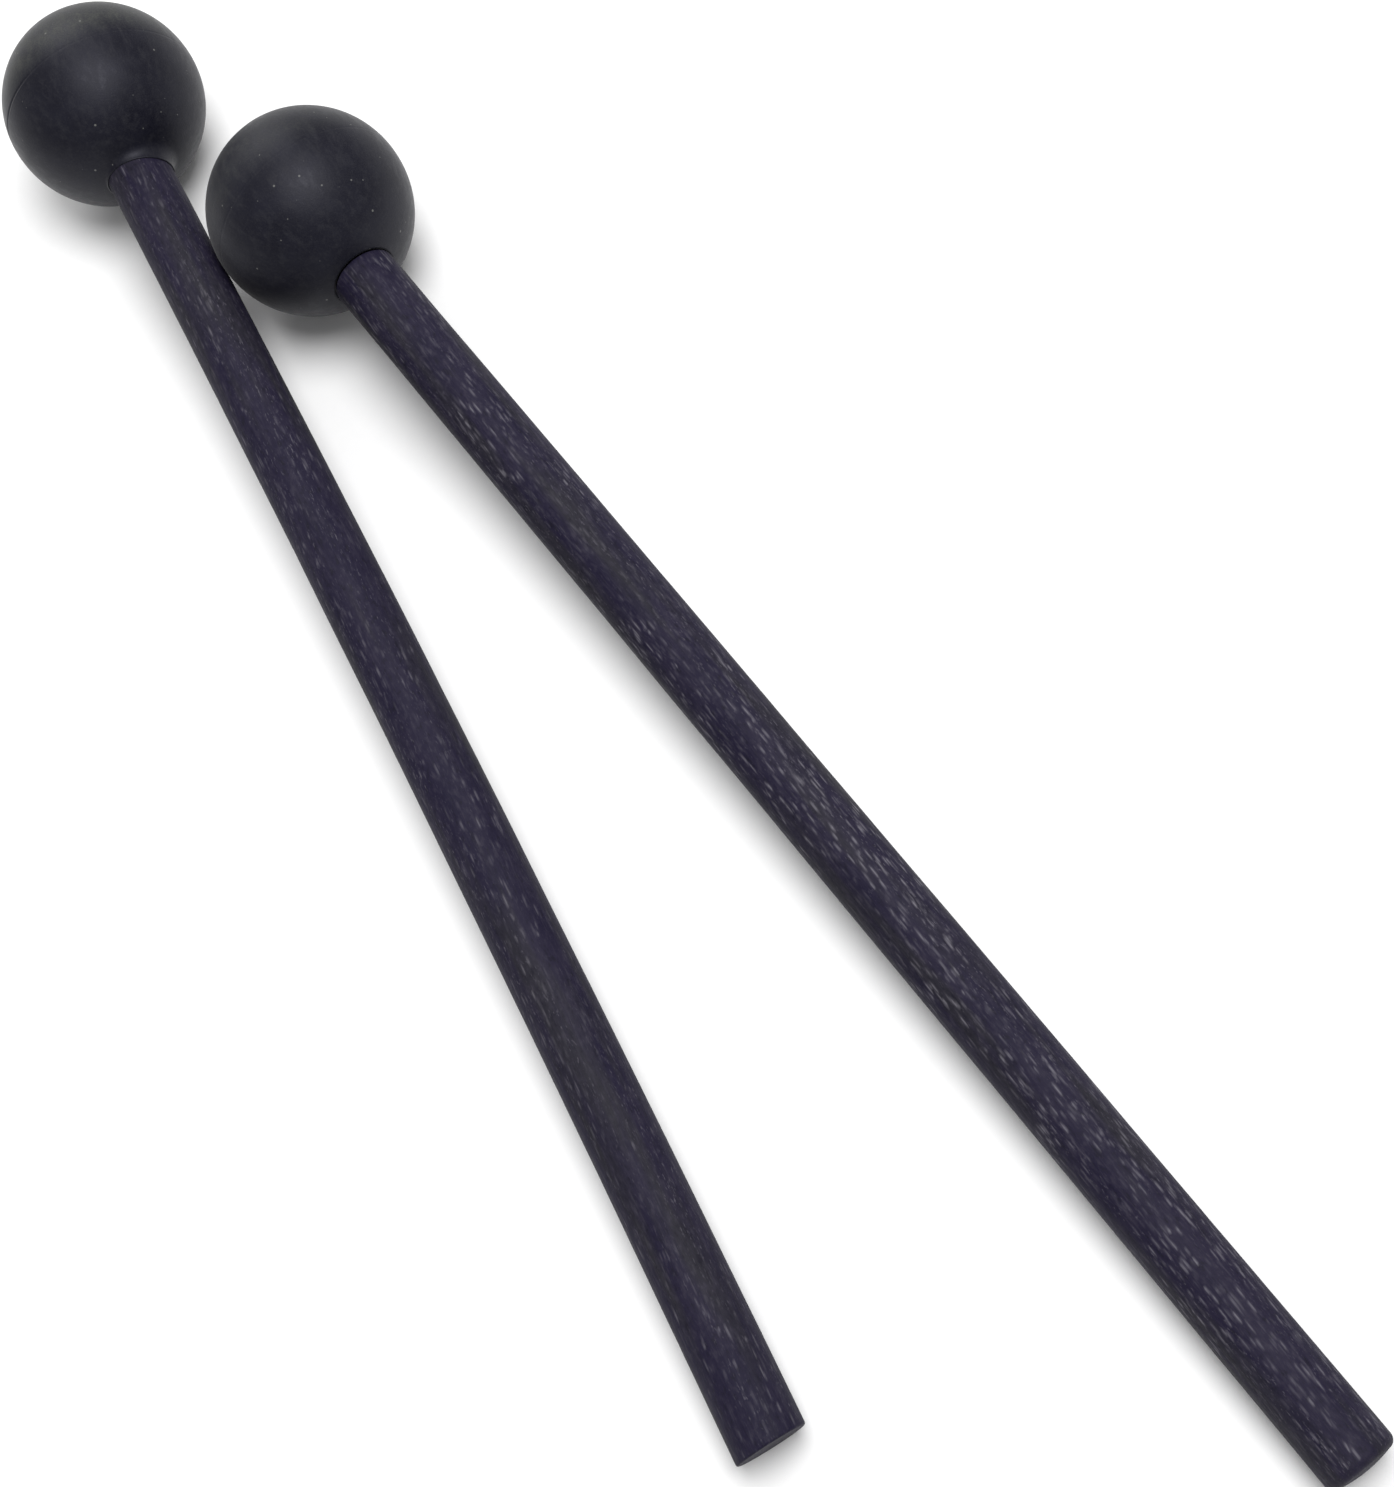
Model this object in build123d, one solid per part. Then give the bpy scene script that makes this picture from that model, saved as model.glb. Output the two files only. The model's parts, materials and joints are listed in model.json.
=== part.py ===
"""A pair of ball-head percussion mallets, lying side by side on a table.

Each mallet is a dyed wooden dowel glued into a blind socket in a moulded rubber ball. The two lie in a
narrow V, and the right mallet's ball rests beside the left mallet's stick.

Millimetres. Z = 0 is the table, +Z is up and +Y is towards the heads, along the V's bisector. The origin is
under the middle of the pair. Each piece is first made on its own stick axis, with the ball's centre at zero
and local +Z running along the stick to its end, and is then laid down on the table.
"""

import os
from dataclasses import dataclass
from math import asin, atan2, cos, degrees, hypot, radians, sin, sqrt

from build123d import *

# Driving dimensions of the mallets. They differ a little, as hand-made pairs do
HEAD_D = 25.0  # rubber ball
STICK_D = 8.0  # dowel
LEFT_LENGTH = 195.6  # far side of the ball to the dowel's end, along the underside
RIGHT_LENGTH = 196.8
SOCKET_DEPTH = 15.0  # from the socket's mouth to its floor
TENON_STEP = 0.4  # by which the dowel's radius is turned down inside the ball
GLUE_FILM = 0.2  # cured glue round the tenon and under it

# The ball's mould line, a fine groove round it, square to the stick
SEAM_WIDTH = 0.30
SEAM_DEPTH = 0.08

# The socket's mouth: the left ball's rubber climbs the stick in a small flare, the right one's is rounded over
FLARE_ROUND = 1.30
FLARE_EDGE = 0.15  # rubber thickness left where the flare ends on the stick
MOUTH_ROUND = 0.35
SHOULDER_GAP = 0.15  # between the right ball and the right stick's shoulder, a fine dark ring

# The dowels' ends: the left one is sawn a little off square, the right one is sanded round
LEFT_END_BREAK = 0.25
LEFT_END_SKEW = 5.2  # degrees off square
LEFT_END_HIGH_SIDE = 138.0  # degrees round the stick to the side left longest by the saw, 90 being the top
RIGHT_END_ROUND = 1.0
RIGHT_END_CROWN = 0.3  # height of the slightly domed end face
SAW_ALLOWANCE = 2.0  # extra dowel that the saw takes off

# How the pair lies
SPREAD = 10.1  # degrees between the two sticks, seen from above
HEAD_STEP = 30.4  # from the left ball's centre to the right ball's, measured along the left stick
SIDE_GAP = 0.3  # between the left stick and the right ball

HEAD_R = HEAD_D / 2
STICK_R = STICK_D / 2
TENON_R = STICK_R - TENON_STEP
SOCKET_R = TENON_R + GLUE_FILM
LEFT_END = LEFT_LENGTH - HEAD_R  # the ball's centre to the dowel's end
RIGHT_END = RIGHT_LENGTH - HEAD_R
STANDING = (Align.CENTER, Align.CENTER, Align.MIN)
HANGING = (Align.CENTER, Align.CENTER, Align.MAX)


def on_circle(radius, angle):
    """A point at this radius from the ball's centre, with the angle in degrees up from its equator."""
    return radius * cos(radians(angle)), radius * sin(radians(angle))


@dataclass
class Mouth:
    """The socket's mouth: its outline, where that leaves the ball's surface, and the heights it sets."""

    edges: list
    start_angle: float  # degrees up from the ball's equator
    height: float  # where the socket's wall begins
    shoulder: float  # where the dowel's full thickness begins


def flared_mouth():
    """Rubber that flares out to the stick. The dowel's shoulder sits on it."""
    centre_x = STICK_R + FLARE_EDGE + FLARE_ROUND
    centre_z = sqrt((HEAD_R + FLARE_ROUND) ** 2 - centre_x**2)
    start = degrees(atan2(centre_z, centre_x))
    curve = CenterArc((centre_x, centre_z), FLARE_ROUND, start + 180, -start)
    edge = Line((STICK_R + FLARE_EDGE, centre_z), (SOCKET_R, centre_z))
    return Mouth([curve, edge], start, centre_z, centre_z)


def rounded_mouth():
    """A rounded edge from the ball's surface into the socket. The dowel's shoulder stands just clear of it."""
    centre_x = SOCKET_R + MOUTH_ROUND
    centre_z = sqrt((HEAD_R - MOUTH_ROUND) ** 2 - centre_x**2)
    start = degrees(atan2(centre_z, centre_x))
    curve = CenterArc((centre_x, centre_z), MOUTH_ROUND, start, 180 - start)
    return Mouth([curve], start, centre_z, centre_z + MOUTH_ROUND + SHOULDER_GAP)


def revolved(edges):
    """The solid made by turning a closed outline, drawn as radius and height, round the stick axis."""
    outline = Plane.XZ * make_face(edges)
    return revolve(outline, axis=Axis.Z)


def make_head(mouth):
    """The rubber ball with its mould line and its blind socket."""
    floor_z = mouth.height - SOCKET_DEPTH
    seam_angle = degrees(SEAM_WIDTH / 2 / HEAD_R)
    seam_floor = (HEAD_R - SEAM_DEPTH, 0)
    edges = [
        CenterArc((0, 0), HEAD_R, -90, 90 - seam_angle),
        Line(on_circle(HEAD_R, -seam_angle), seam_floor),
        Line(seam_floor, on_circle(HEAD_R, seam_angle)),
        CenterArc((0, 0), HEAD_R, seam_angle, mouth.start_angle - seam_angle),
        *mouth.edges,
        Line((SOCKET_R, mouth.height), (SOCKET_R, floor_z)),
        Line((SOCKET_R, floor_z), (0, floor_z)),
        Line((0, floor_z), (0, -HEAD_R)),
    ]
    return revolved(edges)


def make_glue(mouth):
    """The cured glue between the tenon and the socket: a thin cup."""
    floor_z = mouth.height - SOCKET_DEPTH
    cup = Pos(0, 0, floor_z) * Cylinder(SOCKET_R, SOCKET_DEPTH, align=STANDING)
    return cup - make_tenon(mouth)


def make_tenon(mouth):
    """The turned-down part of the dowel, from its shoulder to just off the socket's floor."""
    length = mouth.shoulder - mouth.height + SOCKET_DEPTH - GLUE_FILM
    return Pos(0, 0, mouth.shoulder) * Cylinder(TENON_R, length, align=HANGING)


def sawn_stick(mouth):
    """A dowel whose end is sawn slightly off square, with its sharp edge just broken."""
    dowel_length = LEFT_END + SAW_ALLOWANCE - mouth.shoulder
    dowel = Pos(0, 0, mouth.shoulder) * Cylinder(STICK_R, dowel_length, align=STANDING)
    cut = Pos(0, -STICK_R, LEFT_END) * Rot(0, 0, LEFT_END_HIGH_SIDE) * Rot(0, -LEFT_END_SKEW, 0)
    stick = split(dowel, Plane(cut), keep=Keep.BOTTOM)
    end_face = stick.faces().sort_by(Axis.Z)[-1]
    stick = fillet(end_face.edges(), LEFT_END_BREAK)
    return stick + make_tenon(mouth)


def sanded_stick(mouth):
    """A dowel whose end is sanded round, with a slightly domed face."""
    rim_r = STICK_R - RIGHT_END_ROUND
    rim_z = RIGHT_END - RIGHT_END_CROWN
    round_z = rim_z - RIGHT_END_ROUND
    edges = [
        Line((0, mouth.shoulder), (STICK_R, mouth.shoulder)),
        Line((STICK_R, mouth.shoulder), (STICK_R, round_z)),
        CenterArc((rim_r, round_z), RIGHT_END_ROUND, 0, 90),
        ThreePointArc((rim_r, rim_z), crown_point(rim_r / 2, rim_r), (0, RIGHT_END)),
        Line((0, RIGHT_END), (0, mouth.shoulder)),
    ]
    return revolved(edges) + make_tenon(mouth)


def crown_point(radius, rim_r):
    """A point of the domed end face at this radius. The dome is a shallow cap on a rim of radius rim_r."""
    dome_r = (rim_r**2 + RIGHT_END_CROWN**2) / (2 * RIGHT_END_CROWN)
    return radius, RIGHT_END - dome_r + sqrt(dome_r**2 - radius**2)


def rest_tilt(end_z, end_round):
    """Degrees by which the stick slopes down when the ball and the rounded end both touch the table."""
    along = end_z - end_round
    across = STICK_R - end_round
    return degrees(asin((HEAD_R - end_round) / hypot(along, across)) - atan2(across, along))


def lying(centre_x, centre_y, heading, tilt):
    """The plane of a mallet on the table. Heading is degrees from -Y towards +X, seen from above."""
    flat = cos(radians(tilt))
    along = (sin(radians(heading)) * flat, -cos(radians(heading)) * flat, -sin(radians(tilt)))
    across = (cos(radians(heading)), sin(radians(heading)), 0)
    return Plane(origin=(centre_x, centre_y, HEAD_R), x_dir=across, z_dir=along)


def right_head_place(left_tilt):
    """The right ball's centre, from the left ball's, with the side gap to the left stick."""
    reach = HEAD_R + STICK_R + SIDE_GAP
    drop = HEAD_STEP * sin(radians(left_tilt))
    aside = sqrt(reach**2 - drop**2)
    half = radians(SPREAD / 2)
    x = -HEAD_STEP * sin(half) + aside * cos(half)
    y = -HEAD_STEP * cos(half) - aside * sin(half)
    return x, y


def make_pair():
    """All the pieces by node name, laid down with the left ball's centre above the origin."""
    left_mouth = flared_mouth()
    right_mouth = rounded_mouth()
    left_tilt = rest_tilt(LEFT_END, LEFT_END_BREAK)
    right_tilt = rest_tilt(RIGHT_END - RIGHT_END_CROWN, RIGHT_END_ROUND)
    left = lying(0, 0, -SPREAD / 2, left_tilt)
    right = lying(*right_head_place(left_tilt), SPREAD / 2, right_tilt)
    return {
        "left_head": left * make_head(left_mouth),
        "left_glue": left * make_glue(left_mouth),
        "left_stick": left * sawn_stick(left_mouth),
        "right_head": right * make_head(right_mouth),
        "right_glue": right * make_glue(right_mouth),
        "right_stick": right * sanded_stick(right_mouth),
    }


def main():
    os.makedirs("parts", exist_ok=True)
    pair = make_pair()
    box = Compound(list(pair.values())).bounding_box()
    to_origin = Pos(-box.center().X, -box.center().Y, -box.min.Z)
    for name, piece in pair.items():
        export_step(to_origin * piece, f"parts/{name}.step")


main()
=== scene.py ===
"""Looks of a pair of ball-head percussion mallets: matt rubber balls on black-stained wooden dowels.

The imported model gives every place: the stick axes come from the record's two stick mounts, and the balls from
their nodes' boxes. Each visible piece is a lathe mesh made on its mallet's own axis, with the ball's centre at
zero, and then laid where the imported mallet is. Metres.
"""

import json
import math
from dataclasses import dataclass

import bpy
import numpy as np
from mathutils import Matrix, Vector


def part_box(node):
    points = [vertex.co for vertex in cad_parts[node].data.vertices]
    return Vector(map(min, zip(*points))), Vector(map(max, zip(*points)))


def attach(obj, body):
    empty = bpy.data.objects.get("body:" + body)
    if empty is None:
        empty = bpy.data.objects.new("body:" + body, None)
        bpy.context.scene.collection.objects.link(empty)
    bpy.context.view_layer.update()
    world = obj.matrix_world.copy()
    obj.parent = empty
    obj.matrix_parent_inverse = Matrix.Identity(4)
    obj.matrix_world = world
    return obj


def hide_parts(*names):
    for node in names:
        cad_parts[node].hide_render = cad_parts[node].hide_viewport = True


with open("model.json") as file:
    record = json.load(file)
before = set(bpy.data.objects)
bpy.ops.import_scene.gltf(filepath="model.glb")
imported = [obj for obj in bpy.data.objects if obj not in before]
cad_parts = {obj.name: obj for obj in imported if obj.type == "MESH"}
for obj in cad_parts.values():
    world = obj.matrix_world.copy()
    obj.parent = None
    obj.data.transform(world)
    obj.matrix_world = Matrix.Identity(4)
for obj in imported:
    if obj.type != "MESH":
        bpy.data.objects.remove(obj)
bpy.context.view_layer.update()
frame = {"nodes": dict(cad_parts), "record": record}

MM = 0.001

# The mallet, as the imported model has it
HEAD_R = 12.5 * MM
STICK_R = 4.0 * MM
TENON_R = 3.6 * MM
SOCKET_R = 3.8 * MM
SOCKET_DEPTH = 15.0 * MM
GLUE_FILM = 0.2 * MM
SEAM_HALF = 0.15 * MM
SEAM_DEPTH = 0.08 * MM
MOUTH_ROUND = 0.35 * MM
FLARE_ROUND = 1.3 * MM
FLARE_EDGE = 0.15 * MM

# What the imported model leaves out: the flare is wide on one side of the stick and a bare lip on the other
FLARE_LEAN = 1.05 * MM
COLLAR_DROP = 0.75 * MM  # how far the full dowel goes on inside the flare
COLLAR_GAP = 0.03 * MM
EDGE_BREAK = 0.08 * MM  # on the shoulder hidden in the mouth

# Relief of the dowels and of the balls
PORE_DEPTH = 0.045 * MM
FIBRE_RELIEF = 0.008 * MM
FINE_FIBRE_RELIEF = 0.006 * MM
SANDING_RELIEF = 0.025 * MM
SLANT_RUN = 4 * MM  # length of wall over which the slanted cut's stretch fades out
LUMP_RELIEF = 0.010 * MM
FINE_LUMP_RELIEF = 0.003 * MM

# Mesh density
STICK_COLUMNS = 208
STICK_ROW = 0.39 * MM
HEAD_COLUMNS = 224
HEAD_ROW = math.radians(1.1)
MOUTH_ROWS = 14
PATTERN_SHIFT = 11.3 * MM  # between the surface patterns of neighbouring seeds

# Camera, round the middle of the pair
AIM = Vector((9.65 * MM, -11.65 * MM, 0))
CAMERA_DISTANCE = 277.4 * MM
CAMERA_HEADING = 1.74  # degrees from +Y towards +X
CAMERA_ELEVATION = 65.9
CAMERA_ROLL = -32.3
CAMERA_LENS = 60.0
CAMERA_SENSOR = 36.0
CAMERA_CLIP = 0.01

# Studio
FLOOR_R = 4.0
FLOOR_CORNERS = 96
WORLD_STRENGTH = 0.44


# ---------------------------------------------------------------- places

@dataclass
class Mallet:
    """Where one mallet lies: its ball's centre, its axes, and how far along the stick its plain wall runs."""

    side: str
    centre: Vector
    across: Vector
    upward: Vector
    along: Vector
    wall_start: float
    wall_end: float

    @property
    def body(self):
        """The name of the frame's body that this mallet rides on."""
        return f"{self.side}_mallet"

    def node(self, piece):
        """The name of one of this mallet's CAD nodes, or of the visible piece made for it."""
        return f"{self.side}_{piece}"

    def laid(self):
        """The matrix from the mallet's own axes to the row frame."""
        turn = Matrix((self.across, self.upward, self.along)).transposed().to_4x4()
        return Matrix.Translation(self.centre) @ turn


def find_mallet(side):
    """Reads a mallet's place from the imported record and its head's box."""
    mounts = {m["name"]: m for m in frame["record"]["mounts"]}
    mount = mounts[f"{side}_stick_grip"]
    middle, along = Vector(mount["pos_m"]), Vector(mount["axis"]).normalized()
    low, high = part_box(f"{side}_head")
    boxed = Vector(((low.x + high.x) / 2, high.y - HEAD_R, (low.z + high.z) / 2))
    reach = (middle - boxed).dot(along)
    half_wall = mount["dims"]["length_mm"] * MM / 2
    across = Vector((0, 0, 1)).cross(along).normalized()
    return Mallet(side, middle - along * reach, across, along.cross(across), along,
                  reach - half_wall, reach + half_wall)


# ---------------------------------------------------------------- lathe meshes

def arc(centre_r, centre_t, radius, start, stop, count):
    """Profile points (radius, height) on an arc, angles in degrees."""
    angles = np.radians(np.linspace(start, stop, count))
    return [(centre_r + radius * math.cos(a), centre_t + radius * math.sin(a)) for a in angles]


def ruled(start, stop, step):
    """Evenly spaced values from start to stop, about a step apart, both ends included."""
    return np.linspace(start, stop, max(2, round(abs(stop - start) / step) + 1))


def lathe(name, radius, height, columns):
    """A closed mesh from a grid of radii and heights, rows by columns. Its first and last rows are poles."""
    theta = np.linspace(0, 2 * math.pi, columns, endpoint=False)
    grid = np.stack([radius * np.cos(theta), radius * np.sin(theta), height], axis=2)
    poles = grid[[0, -1]].mean(axis=1)
    body = grid[1:-1]
    rows = len(body)
    points = np.concatenate([poles[:1], body.reshape(-1, 3), poles[1:]])
    index = 1 + np.arange(rows * columns).reshape(rows, columns)
    right = np.roll(index, -1, axis=1)
    quads = np.stack([index[:-1], right[:-1], right[1:], index[1:]], axis=2).reshape(-1, 4)
    last = len(points) - 1
    fans = [(0, int(b), int(a)) for a, b in zip(index[0], right[0])]
    fans += [(last, int(a), int(b)) for a, b in zip(index[-1], right[-1])]
    mesh = bpy.data.meshes.new(name)
    mesh.from_pydata(points.tolist(), [], quads.tolist() + fans)
    mesh.polygons.foreach_set("use_smooth", [True] * len(mesh.polygons))
    mesh.update()
    return mesh


def store(mesh, name, values):
    """Keeps a number for each point of a lathe mesh, given for its rows and columns."""
    flat = np.concatenate([values[:1, 0], values[1:-1].ravel(), values[-1:, 0]])
    mesh.attributes.new(name, "FLOAT", "POINT").data.foreach_set("value", flat.astype(np.float32))


def store_axial(mesh, seed):
    """Keeps each point's place on the mallet's own axes, which the grain follows, moved aside so no two match."""
    flat = np.zeros(len(mesh.vertices) * 3, np.float32)
    mesh.vertices.foreach_get("co", flat)
    flat[0::3] += seed * PATTERN_SHIFT
    mesh.attributes.new("axial", "FLOAT_VECTOR", "POINT").data.foreach_set("vector", flat)


def add_piece(mesh, mallet, material):
    """Lays a mesh where its mallet lies and hands it to the frame in place of its CAD node."""
    mesh.transform(mallet.laid())
    mesh.materials.append(material)
    piece = bpy.data.objects.new(mesh.name, mesh)
    bpy.context.scene.collection.objects.link(piece)
    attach(piece, mallet.body)
    return piece


def smooth_noise(rng, heights, columns, cell, cells_round):
    """Seeded noise from -1 to 1 at these heights and columns, which closes on itself round the axis."""
    rows = (heights - heights.min()) / cell
    lattice = rng.uniform(-1, 1, (int(rows.max()) + 2, cells_round))
    spots = np.arange(columns) * cells_round / columns
    row, column = rows.astype(int), spots.astype(int)
    u, v = rows - row, spots - column
    u, v = (u * u * (3 - 2 * u))[:, None], v * v * (3 - 2 * v)
    after = (column + 1) % cells_round
    low = lattice[row][:, column] * (1 - v) + lattice[row][:, after] * v
    high = lattice[row + 1][:, column] * (1 - v) + lattice[row + 1][:, after] * v
    return low * (1 - u) + high * u


def smooth_step(values, start, stop):
    """0 before start, 1 after stop, smooth between."""
    share = np.clip((values - start) / (stop - start), 0, 1)
    return share * share * (3 - 2 * share)


# ---------------------------------------------------------------- sticks

@dataclass
class StickLook:
    """How one dowel differs from the other."""

    seed: int
    collar: float  # how far the full dowel goes on inside the mouth
    bow: float  # sideways, at mid-length
    lean: float  # sideways, at the end
    end_round: float
    crown: float  # rise of the end's middle
    skew: float  # degrees off square
    high_side: float  # degrees round the stick to the side left longest
    pores: int
    pore_light: float  # how pale the pores are


def stick_profile(mallet, look):
    """Radii and heights from the tenon's end to the middle of the sawn end."""
    floor = socket_floor(mallet) + GLUE_FILM
    shoulder, wall_end = mallet.wall_start - look.collar, mallet.wall_end
    rim = STICK_R - look.end_round
    points = [(0, floor), (TENON_R, floor), (TENON_R, shoulder), (STICK_R - EDGE_BREAK, shoulder)]
    points += [(STICK_R, t) for t in ruled(shoulder + EDGE_BREAK, wall_end, STICK_ROW)]
    points += arc(rim, wall_end, look.end_round, 0, 90, 9)[1:]
    crown = [(r, look.crown * (1 - (r / rim) ** 2)) for r in ruled(rim, 0, 0.3 * MM)[1:]]
    points += [(r, wall_end + look.end_round + rise) for r, rise in crown]
    return np.array(points)


def pore_map(rng, look, heights, wall_start, wall_end):
    """Strength of the open pores, 0 to 1, at each row and column: short grooves that run with the grain."""
    pores = np.zeros((len(heights), STICK_COLUMNS))
    column_width = 2 * math.pi * STICK_R / STICK_COLUMNS
    for _ in range(look.pores):
        middle = rng.uniform(wall_start, wall_end)
        spot, lean = rng.uniform(0, STICK_COLUMNS), rng.normal(0, 0.02)
        half_length = rng.uniform(0.25, 0.75) * MM
        half_width = rng.uniform(0.06, 0.11) * MM
        strength = rng.uniform(0.2, 1) ** 1.8
        first, stop = np.searchsorted(heights, [middle - 2 * half_length, middle + 2 * half_length])
        away = heights[first:stop] - middle
        columns = np.arange(math.floor(spot) - 3, math.floor(spot) + 5)
        aside = (columns - spot) * column_width - (away * lean)[:, None]
        mark = strength * np.exp(-((away / half_length) ** 4)[:, None] - (aside / half_width) ** 2)
        window = np.ix_(range(first, stop), columns % STICK_COLUMNS)
        pores[window] = np.maximum(pores[window], mark)
    return pores


def make_stick(mallet, look, material):
    """A dowel with grain ridges, open pores, a bow and its own kind of end."""
    rng = np.random.default_rng(look.seed)
    profile = stick_profile(mallet, look)
    radius = np.repeat(profile[:, :1], STICK_COLUMNS, axis=1)
    height = np.repeat(profile[:, 1:], STICK_COLUMNS, axis=1)
    heights = profile[:, 1]
    on_wall = smooth_step(heights, mallet.wall_start, mallet.wall_start + 0.5 * MM)
    on_wall = (on_wall * (1 - smooth_step(heights, mallet.wall_end, mallet.wall_end + 0.3 * MM)))[:, None]
    fibres = smooth_noise(rng, heights, STICK_COLUMNS, 9 * MM, 60) * FIBRE_RELIEF
    fibres += smooth_noise(rng, heights, STICK_COLUMNS, 3 * MM, 112) * FINE_FIBRE_RELIEF
    sanding = smooth_noise(rng, heights, STICK_COLUMNS, 14 * MM, 5) * SANDING_RELIEF
    wall_rows = np.where((heights >= mallet.wall_start) & (heights <= mallet.wall_end))[0]
    pores = np.zeros_like(radius)
    span = slice(wall_rows[0], wall_rows[-1] + 1)
    pores[span] = pore_map(rng, look, heights[span], mallet.wall_start, mallet.wall_end)
    radius += on_wall * (fibres + sanding - pores * PORE_DEPTH)
    worn = smooth_step(smooth_noise(rng, heights, STICK_COLUMNS, 7 * MM, 9), -0.5, 0.5)
    theta = np.linspace(0, 2 * math.pi, STICK_COLUMNS, endpoint=False) - math.radians(look.high_side)
    lift = STICK_R * math.cos(math.radians(look.high_side - 90))
    slant = math.tan(math.radians(look.skew)) * (radius * np.cos(theta) + lift)
    height += slant * smooth_step(heights, mallet.wall_end - SLANT_RUN, mallet.wall_end)[:, None]
    mesh = lathe(mallet.node("stick_wood"), radius, height, STICK_COLUMNS)
    store(mesh, "pore", pores * look.pore_light * (0.25 + 0.75 * worn))
    store_axial(mesh, look.seed)
    bend(mesh, mallet, look)
    stick = add_piece(mesh, mallet, material)
    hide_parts(mallet.node("stick"))


def bend(mesh, mallet, look):
    """Moves the dowel sideways a little along its length: no piece of wood is quite straight."""
    for vertex in mesh.vertices:
        share = min(max((vertex.co.z - mallet.wall_start) / (mallet.wall_end - mallet.wall_start), 0), 1)
        vertex.co.x += look.bow * 4 * share * (1 - share) + look.lean * share


# ---------------------------------------------------------------- heads

@dataclass
class HeadLook:
    """How one ball's mouth and surface differ from the other's."""

    seed: int
    flared: bool
    seam: float  # share of the mould line's depth that dust and wear leave
    seam_side: float  # the same on the side that kept it sharp


def rounded_mouth_height():
    """Height at which the rounded mouth meets the socket's wall."""
    return math.sqrt((HEAD_R - MOUTH_ROUND) ** 2 - (SOCKET_R + MOUTH_ROUND) ** 2)


def socket_floor(mallet):
    """Height of the socket's floor, from the ball's centre."""
    mouth = mallet.wall_start if LOOKS[mallet.side][1].flared else rounded_mouth_height()
    return mouth - SOCKET_DEPTH


def mouth_rows(flared, theta):
    """The mouth's rows of radii and heights, from the ball to the socket's wall, and the angles where they start."""
    if flared:
        lip = FLARE_ROUND + FLARE_LEAN * np.cos(theta)
        centre_r = STICK_R + FLARE_EDGE + lip
        centre_t = np.sqrt((HEAD_R + lip) ** 2 - centre_r**2)
        start = np.arctan2(centre_t, centre_r)
        turns = start + math.pi + np.linspace(0, 1, MOUTH_ROWS)[:, None] * -start
    else:
        lip = np.full_like(theta, MOUTH_ROUND)
        centre_r = SOCKET_R + lip
        centre_t = np.full_like(theta, rounded_mouth_height())
        start = np.arctan2(centre_t, centre_r)
        turns = start + np.linspace(0, 1, MOUTH_ROWS)[:, None] * (math.pi - start)
    radius, height = centre_r + lip * np.cos(turns), centre_t + lip * np.sin(turns)
    if flared:
        wall = np.full_like(theta, STICK_R + COLLAR_GAP)
        ledge = np.full_like(theta, centre_t.min() - COLLAR_DROP / 2)
        radius = np.vstack([radius, wall, wall, np.full_like(theta, SOCKET_R)])
        height = np.vstack([height, centre_t, ledge, ledge])
    return radius, height, start


def make_head(mallet, look, material):
    """A rubber ball with its mould line, its mouth and its blind socket."""
    rng = np.random.default_rng(look.seed)
    theta = np.linspace(0, 2 * math.pi, HEAD_COLUMNS, endpoint=False)
    mouth_radius, mouth_height, start = mouth_rows(look.flared, theta)
    seam = SEAM_HALF / HEAD_R
    lower = np.repeat(ruled(-math.pi / 2, -3 * seam, HEAD_ROW)[:-1, None], HEAD_COLUMNS, axis=1)
    groove = np.repeat(np.linspace(-3, 3, 13)[:, None] * seam, HEAD_COLUMNS, axis=1)
    shares = ruled(0, 1, HEAD_ROW / start.mean())[1:-1, None]
    upper = 3 * seam + shares * (start - 3 * seam)
    angles = np.vstack([lower, groove, upper])
    travel = angles.mean(axis=1) * HEAD_R
    lumps = smooth_noise(rng, travel, HEAD_COLUMNS, 3.2 * MM, 18) * LUMP_RELIEF
    lumps += smooth_noise(rng, travel, HEAD_COLUMNS, 1.1 * MM, 60) * FINE_LUMP_RELIEF
    sharp = look.seam + (look.seam_side - look.seam) * smooth_step(-np.cos(theta), 0.2, 0.9)
    wear = 0.75 + 0.25 * smooth_noise(rng, travel, HEAD_COLUMNS, 40 * MM, 26)
    across = angles / seam
    push = lumps * np.cos(angles) - SEAM_DEPTH * sharp * wear * np.exp(-(across**2))
    push += 0.4 * SEAM_DEPTH * sharp * (1 - wear) * np.exp(-((across - 1.6) ** 2))
    reach = HEAD_R + push
    floor = np.full_like(theta, socket_floor(mallet))
    radius = np.vstack([reach * np.cos(angles), mouth_radius, np.full_like(theta, SOCKET_R), 0 * theta])
    height = np.vstack([reach * np.sin(angles), mouth_height, floor, floor])
    radius[0] = 0
    mesh = lathe(mallet.node("head_rubber"), radius, height, HEAD_COLUMNS)
    store_axial(mesh, look.seed)
    head = add_piece(mesh, mallet, material)
    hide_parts(mallet.node("head"))


# ---------------------------------------------------------------- materials

STAIN_DEEP, STAIN_THIN = (0.0070, 0.0050, 0.0200, 1), (0.0130, 0.0102, 0.0265, 1)
STAIN_GREY, STAIN_FLECK = (0.0155, 0.0148, 0.0185, 1), (0.0040, 0.0032, 0.0100, 1)
WOOD_RUBBED, WOOD_FIBRE = (0.0310, 0.0270, 0.0430, 1), (0.0380, 0.0340, 0.0500, 1)
WOOD_DASH, WOOD_PORE = (0.0900, 0.0840, 0.1060, 1), (0.2100, 0.2000, 0.2300, 1)
RUBBER_DEEP, RUBBER_PALE = (0.0020, 0.0020, 0.0066, 1), (0.0058, 0.0059, 0.0120, 1)
RUBBER_SMUDGE, RUBBER_SKIN = (0.0190, 0.0190, 0.0235, 1), (0.0220, 0.0220, 0.0235, 1)
RUBBER_BLOOM, RUBBER_SPECK = (0.0440, 0.0460, 0.0395, 1), (0.1600, 0.1600, 0.1500, 1)
RUBBER_GLINT = (0.90, 0.90, 1.0, 1)
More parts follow.
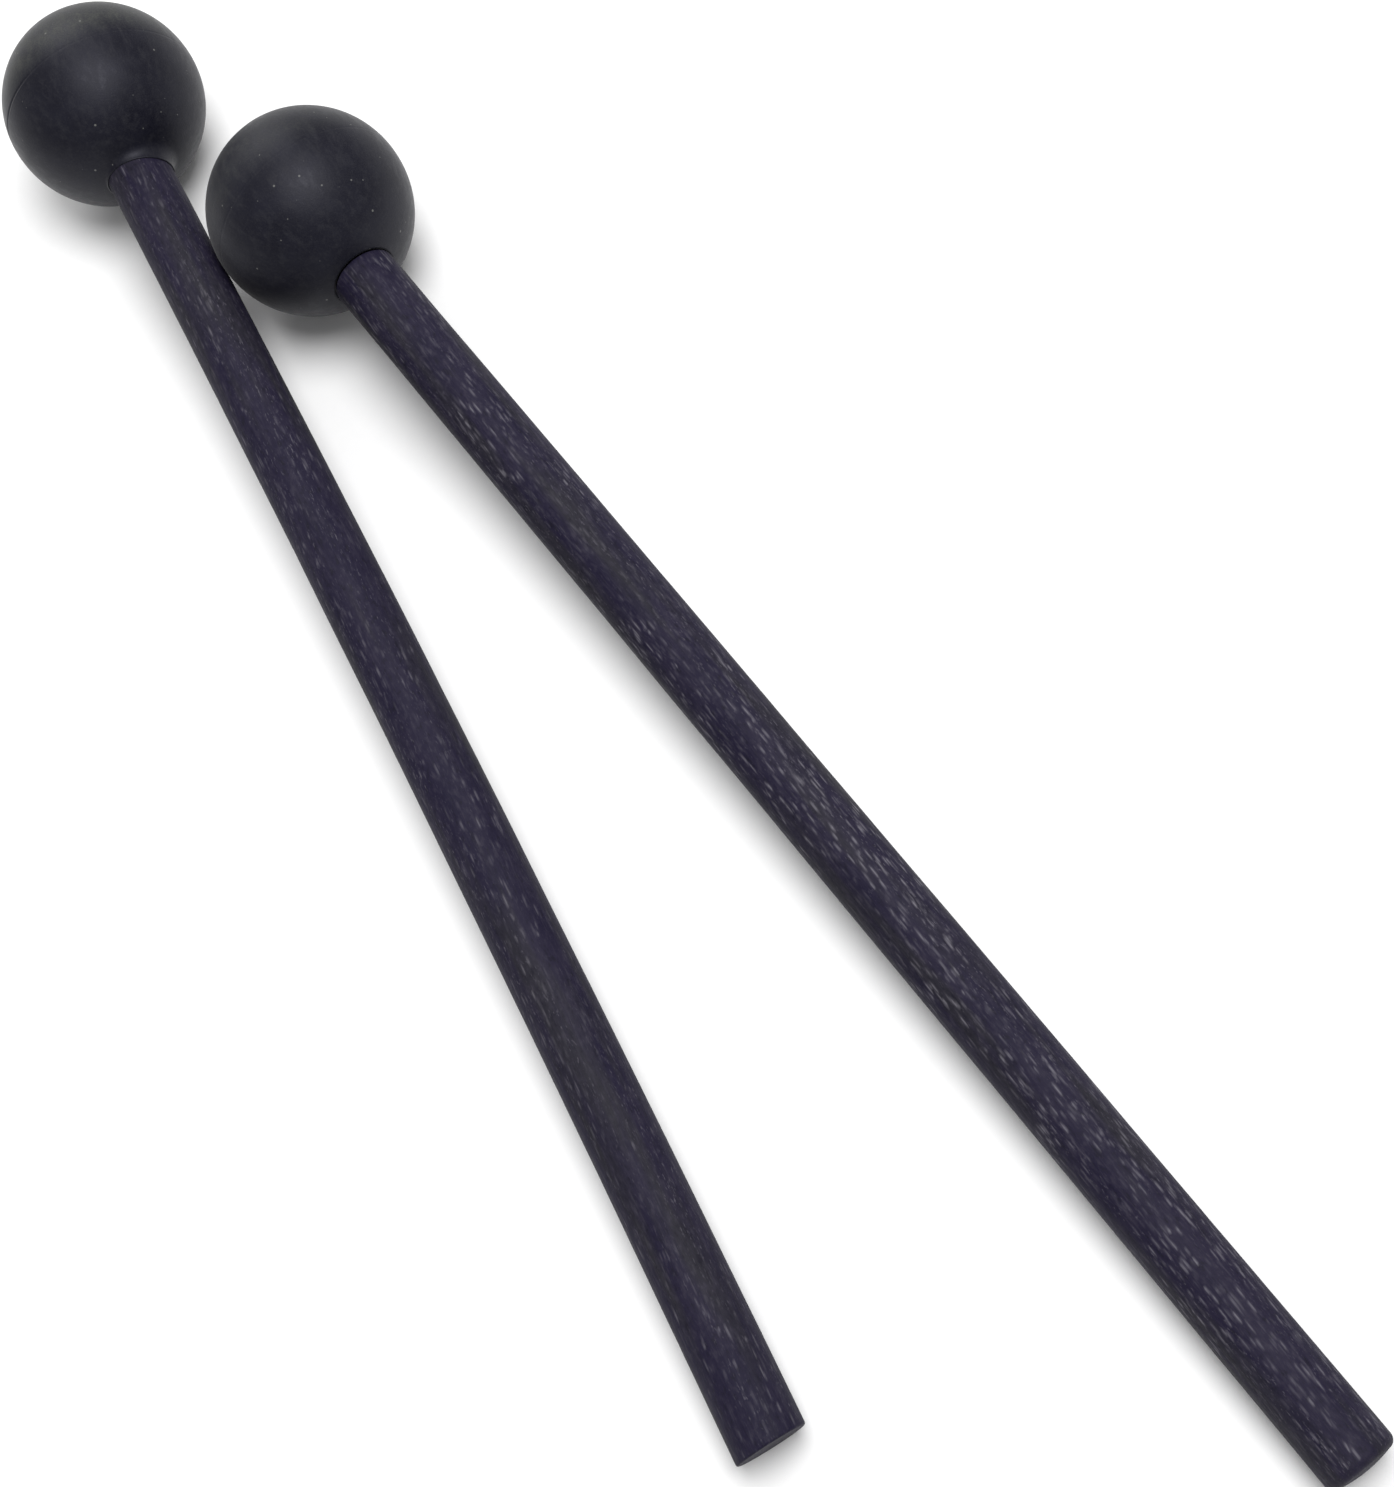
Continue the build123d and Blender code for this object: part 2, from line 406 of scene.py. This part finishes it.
GLUE_DEEP, GLUE_PALE = (0.012, 0.010, 0.009, 1), (0.030, 0.024, 0.020, 1)
PAPER_DARK, PAPER_LIGHT = (0.86, 0.86, 0.86, 1), (0.88, 0.88, 0.88, 1)
WHITE = (1.0, 1.0, 1.0, 1)


class Tree:
    """A material's nodes, made and joined by short calls."""

    def __init__(self, name):
        self.material = bpy.data.materials.new(name)
        self.material.use_nodes = True
        self.nodes = self.material.node_tree.nodes
        self.links = self.material.node_tree.links
        self.shader = self.nodes["Principled BSDF"]

    def add(self, kind, inputs=None, **settings):
        """A node with these settings. An input is a value, or the output socket that feeds it."""
        node = self.nodes.new(kind)
        for name, value in settings.items():
            setattr(node, name, value)
        for key, value in (inputs or {}).items():
            self.feed(node, key, value)
        return node

    def feed(self, node, key, value):
        """Sets an input, or joins it to the output socket that feeds it."""
        if isinstance(value, bpy.types.NodeSocket):
            self.links.new(value, node.inputs[key])
        else:
            node.inputs[key].default_value = value

    def axial(self, across, along):
        """The mallet's own coordinates, in cells this wide across the axis and this long along it."""
        place = self.add("ShaderNodeAttribute", attribute_name="axial")
        scale = (1 / across, 1 / across, 1 / along)
        return self.add("ShaderNodeVectorMath", {0: place.outputs["Vector"], 1: scale},
                        operation="MULTIPLY").outputs[0]

    def noise(self, across, along, detail=2.0, rough=0.5):
        """Noise from 0 to 1 with cells of this size."""
        return self.add("ShaderNodeTexNoise", {"Vector": self.axial(across, along), "Scale": 1.0,
                                               "Detail": detail, "Roughness": rough}).outputs["Fac"]

    def spots(self, cell, size, share):
        """Sparse round spots: cells this wide, spots this share of a cell across, in this share of the cells."""
        cells = self.add("ShaderNodeTexVoronoi", {"Vector": self.axial(cell, cell), "Scale": 1.0})
        disc = self.ramp(cells.outputs["Distance"], size * 0.6, size, 1, 0)
        pick = self.add("ShaderNodeSeparateColor", {0: cells.outputs["Color"]})
        chosen = self.ramp(pick.outputs[0], 1 - share, 1 - share + 0.02, 0, 1)
        return self.math("MULTIPLY", disc, chosen)

    def ramp(self, value, start, stop, low, high):
        """Value from start to stop becomes low to high, held at both ends."""
        return self.add("ShaderNodeMapRange", {"Value": value, "From Min": start, "From Max": stop,
                                               "To Min": low, "To Max": high}).outputs["Result"]

    def math(self, operation, first, second):
        """Arithmetic on two values or sockets."""
        return self.add("ShaderNodeMath", {0: first, 1: second}, operation=operation).outputs[0]

    def mix(self, share, first, second):
        """From the first colour to the second by this share."""
        node = self.add("ShaderNodeMix", data_type="RGBA")
        self.feed(node, 0, share)
        self.feed(node, 6, first)
        self.feed(node, 7, second)
        return node.outputs[2]

    def bump(self, height, depth, normal=None):
        """Relief this deep where the height goes from 0 to 1."""
        inputs = {"Height": height, "Distance": depth, "Strength": 1.0}
        if normal is not None:
            inputs["Normal"] = normal
        return self.add("ShaderNodeBump", inputs).outputs["Normal"]

    def attribute(self, name):
        """A number stored on the mesh's points."""
        return self.add("ShaderNodeAttribute", attribute_name=name).outputs["Fac"]


def wood_material():
    """Black-stained, unvarnished, open-grained hardwood with a blue-purple cast."""
    tree = Tree("stained_wood")
    blotch = tree.noise(3.0 * MM, 9 * MM, 3.0, 0.6)
    mottle = tree.noise(0.55 * MM, 1.3 * MM, 3.0, 0.6)
    fibre = tree.noise(0.22 * MM, 3.5 * MM, 3.0, 0.6)
    bands = tree.noise(2.2 * MM, 70 * MM, 1.0)
    dashes = tree.noise(0.17 * MM, 0.75 * MM, 2.0, 0.6)
    grey = tree.ramp(tree.noise(2.6 * MM, 26 * MM, 2.0), 0.48, 0.66, 0, 0.7)
    stain = tree.mix(tree.ramp(blotch, 0.36, 0.64, 0, 1), STAIN_DEEP, STAIN_THIN)
    stain = tree.mix(grey, stain, STAIN_GREY)
    stain = tree.mix(tree.ramp(mottle, 0.44, 0.30, 0, 0.7), stain, STAIN_FLECK)
    stain = tree.mix(tree.ramp(mottle, 0.52, 0.74, 0, 0.6), stain, WOOD_RUBBED)
    stain = tree.mix(tree.ramp(fibre, 0.52, 0.75, 0, 0.35), stain, WOOD_FIBRE)
    worn = tree.math("MULTIPLY", tree.ramp(dashes, 0.60, 0.74, 0, 1), tree.ramp(bands, 0.42, 0.62, 0.15, 0.75))
    stain = tree.mix(worn, stain, WOOD_DASH)
    stain = tree.mix(tree.attribute("pore"), stain, WOOD_PORE)
    tree.feed(tree.shader, "Base Color", stain)
    tree.feed(tree.shader, "Roughness", tree.ramp(fibre, 0.3, 0.8, 0.58, 0.80))
    relief = tree.bump(fibre, 0.03 * MM)
    tree.feed(tree.shader, "Normal", tree.bump(mottle, 0.03 * MM, relief))
    tree.shader.inputs["Specular IOR Level"].default_value = 0.17
    return tree.material


def rubber_material(name, dusty):
    """Matt moulded black rubber with smudges, specks of dust, and a grey bloom of this strength on the far side."""
    tree = Tree(name)
    cloud = tree.noise(4.5 * MM, 4.5 * MM, 4.0, 0.6)
    smudge = tree.noise(0.9 * MM, 3.0 * MM, 4.0, 0.7)
    skin = tree.noise(0.22 * MM, 0.22 * MM, 3.0, 0.6)
    rubber = tree.mix(tree.ramp(cloud, 0.35, 0.68, 0, 1), RUBBER_DEEP, RUBBER_PALE)
    rubber = tree.mix(tree.ramp(smudge, 0.48, 0.72, 0, 0.55), rubber, RUBBER_SMUDGE)
    rubber = tree.mix(tree.ramp(skin, 0.5, 0.8, 0, 0.4), rubber, RUBBER_SKIN)
    far_side = tree.add("ShaderNodeSeparateXYZ", {0: tree.axial(MM, MM)}).outputs[2]
    dust = tree.math("MULTIPLY", tree.ramp(smudge, 0.35, 0.65, 0.25, 1), tree.ramp(skin, 0.40, 0.62, 0.45, 1))
    bloom = tree.math("MULTIPLY", tree.ramp(far_side, 0.2, -3, 0, dusty), dust)
    rubber = tree.mix(bloom, rubber, RUBBER_BLOOM)
    specks = tree.math("MAXIMUM", tree.spots(1.5 * MM, 0.11, 0.20), tree.spots(0.7 * MM, 0.14, 0.07))
    rubber = tree.mix(tree.math("MULTIPLY", specks, 0.7), rubber, RUBBER_SPECK)
    tree.feed(tree.shader, "Base Color", rubber)
    tree.feed(tree.shader, "Roughness", tree.ramp(smudge, 0.3, 0.7, 0.44, 0.60))
    tree.feed(tree.shader, "Normal", tree.bump(skin, 0.014 * MM))
    tree.shader.inputs["Specular IOR Level"].default_value = 0.24
    tree.shader.inputs["Specular Tint"].default_value = RUBBER_GLINT
    tree.shader.inputs["Sheen Weight"].default_value = 0.10
    tree.shader.inputs["Sheen Roughness"].default_value = 0.35
    return tree.material


def glue_material():
    """Cured black-brown adhesive with small bubbles."""
    tree = Tree("cured_glue")
    place = tree.add("ShaderNodeTexCoord").outputs["Object"]
    bubbles = tree.add("ShaderNodeTexVoronoi", {"Vector": place, "Scale": 1 / (0.6 * MM)}).outputs["Distance"]
    colour = tree.mix(tree.ramp(bubbles, 0.1, 0.5, 1, 0), GLUE_DEEP, GLUE_PALE)
    tree.feed(tree.shader, "Base Color", colour)
    tree.feed(tree.shader, "Normal", tree.bump(bubbles, 0.03 * MM))
    tree.shader.inputs["Roughness"].default_value = 0.35
    return tree.material


def floor_material():
    """Plain white studio paper with a very fine tooth."""
    tree = Tree("studio_paper")
    place = tree.add("ShaderNodeTexCoord").outputs["Object"]
    tooth = tree.add("ShaderNodeTexNoise", {"Vector": place, "Scale": 1 / (1.5 * MM)}).outputs["Fac"]
    tree.feed(tree.shader, "Base Color", tree.mix(tooth, PAPER_DARK, PAPER_LIGHT))
    tree.shader.inputs["Roughness"].default_value = 0.8
    tree.shader.inputs["Specular IOR Level"].default_value = 0.2
    return tree.material


# ---------------------------------------------------------------- studio

def make_floor():
    """A wide round sheet of paper under the pair."""
    mesh = bpy.data.meshes.new("studio_floor")
    turns = np.linspace(0, 2 * math.pi, FLOOR_CORNERS, endpoint=False)
    rim = [(FLOOR_R * math.cos(a), FLOOR_R * math.sin(a), 0) for a in turns]
    mesh.from_pydata(rim, [], [tuple(range(len(rim)))])
    mesh.materials.append(floor_material())
    floor = bpy.data.objects.new("studio_floor", mesh)
    bpy.context.scene.collection.objects.link(floor)


def make_area(name, place, size, power):
    """A round soft light that looks at the middle of the pair."""
    light = bpy.data.lights.new(name, "AREA")
    light.shape = "DISK"
    light.size = size
    light.energy = power
    lamp = bpy.data.objects.new(name, light)
    lamp.location = place
    lamp.rotation_euler = (-Vector(place)).to_track_quat("-Z", "Y").to_euler()
    bpy.context.scene.collection.objects.link(lamp)


def make_world(strength):
    """Even white light from all round."""
    world = bpy.data.worlds.new("studio")
    world.use_nodes = True
    background = world.node_tree.nodes["Background"]
    background.inputs["Color"].default_value = WHITE
    background.inputs["Strength"].default_value = strength
    bpy.context.scene.world = world


def make_camera():
    """The view from above, rolled so that the balls come to the top left."""
    heading, elevation, roll = map(math.radians, (CAMERA_HEADING, CAMERA_ELEVATION, CAMERA_ROLL))
    ahead = Vector((math.sin(heading) * math.cos(elevation), math.cos(heading) * math.cos(elevation),
                    -math.sin(elevation)))
    level = ahead.cross(Vector((0, 0, 1))).normalized()
    upright = level.cross(ahead)
    right = level * math.cos(roll) + upright * math.sin(roll)
    up = upright * math.cos(roll) - level * math.sin(roll)
    data = bpy.data.cameras.new("camera")
    data.lens = CAMERA_LENS
    data.sensor_width = CAMERA_SENSOR
    data.clip_start = CAMERA_CLIP
    camera = bpy.data.objects.new("camera", data)
    turn = Matrix((right, up, -ahead)).transposed().to_4x4()
    camera.matrix_world = Matrix.Translation(AIM - ahead * CAMERA_DISTANCE) @ turn
    bpy.context.scene.collection.objects.link(camera)
    bpy.context.scene.camera = camera


# ---------------------------------------------------------------- the pair

# The left mallet is dustier and its stick smoother and slightly bowed; the right stick's pores stand out
LOOKS = {
    "left": (
        StickLook(seed=3, collar=COLLAR_DROP, bow=0.70 * MM, lean=-0.25 * MM, end_round=0.25 * MM,
                  crown=0.0, skew=5.2, high_side=138, pores=2400, pore_light=0.42),
        HeadLook(seed=5, flared=True, seam=0.25, seam_side=1.6),
    ),
    "right": (
        StickLook(seed=8, collar=0.0, bow=0.0, lean=0.0, end_round=1.0 * MM,
                  crown=0.3 * MM, skew=0.0, high_side=90, pores=4600, pore_light=0.7),
        HeadLook(seed=12, flared=False, seam=0.2, seam_side=0.3),
    ),
}

wood = wood_material()
glue = glue_material()
rubbers = {"left": rubber_material("dusty_rubber", 0.95), "right": rubber_material("black_rubber", 0.30)}
for side, (stick_look, head_look) in LOOKS.items():
    mallet = find_mallet(side)
    make_stick(mallet, stick_look, wood)
    make_head(mallet, head_look, rubbers[side])
    glue_node = frame["nodes"][mallet.node("glue")]
    glue_node.data.materials.clear()
    glue_node.data.materials.append(glue)

make_floor()
make_world(WORLD_STRENGTH)
make_area("overhead", (0.13, -0.02, 0.60), 0.42, 3.8)
make_area("back", (0.02, 0.46, 0.26), 0.26, 0.7)
make_camera()
bpy.context.scene.view_settings.view_transform = "Standard"
